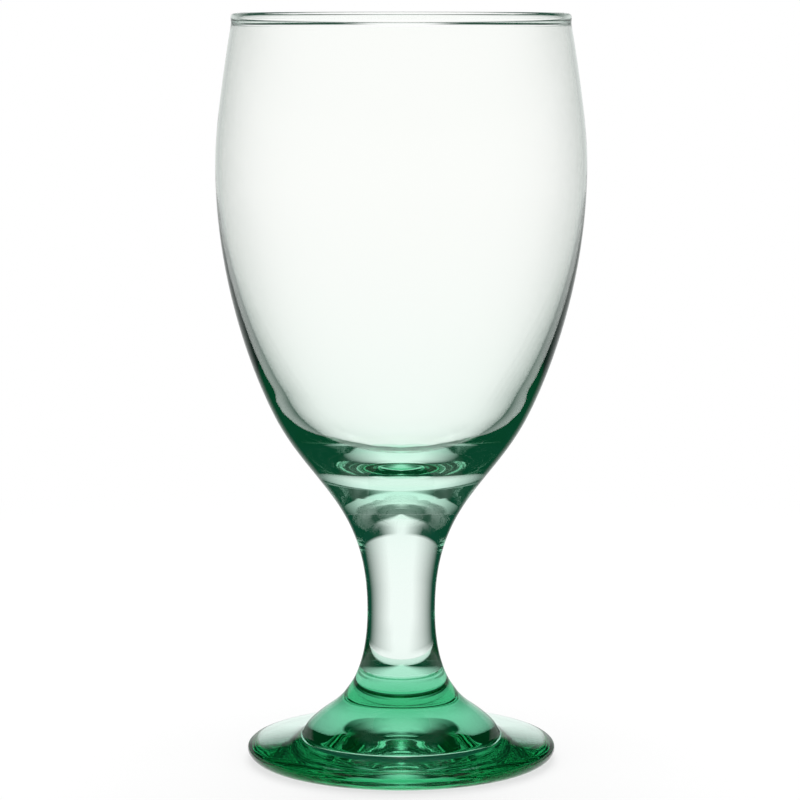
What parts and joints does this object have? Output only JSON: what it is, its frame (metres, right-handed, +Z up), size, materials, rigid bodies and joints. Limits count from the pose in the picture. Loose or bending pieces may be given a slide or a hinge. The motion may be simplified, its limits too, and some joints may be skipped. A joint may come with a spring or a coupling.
{
  "type": "stemmed water glass",
  "caption": "Stemmed water glass: tall tulip bowl with a rounded rim, solid waisted stem and stepped round foot, for holding a cold drink.",
  "frame": {"origin": "centre of the plane that the foot rests on", "axes": "+Z up along the axis of the glass, towards the rim; +X and +Y lie in the resting plane"},
  "size_m": [0.0862, 0.0862, 0.175],
  "materials": {
    "bowl_glass": "clear pale green soda-lime glass, thin wall, fire-polished",
    "stem_glass": "clear pale green soda-lime glass, solid, fire-polished",
    "foot_glass": "clear pale green soda-lime glass, solid and seen deep, fire-polished"
  },
  "bodies": {
    "root": {"bowl": "bowl_glass", "stem": "stem_glass", "foot": "foot_glass"}
  },
  "joints": []
}
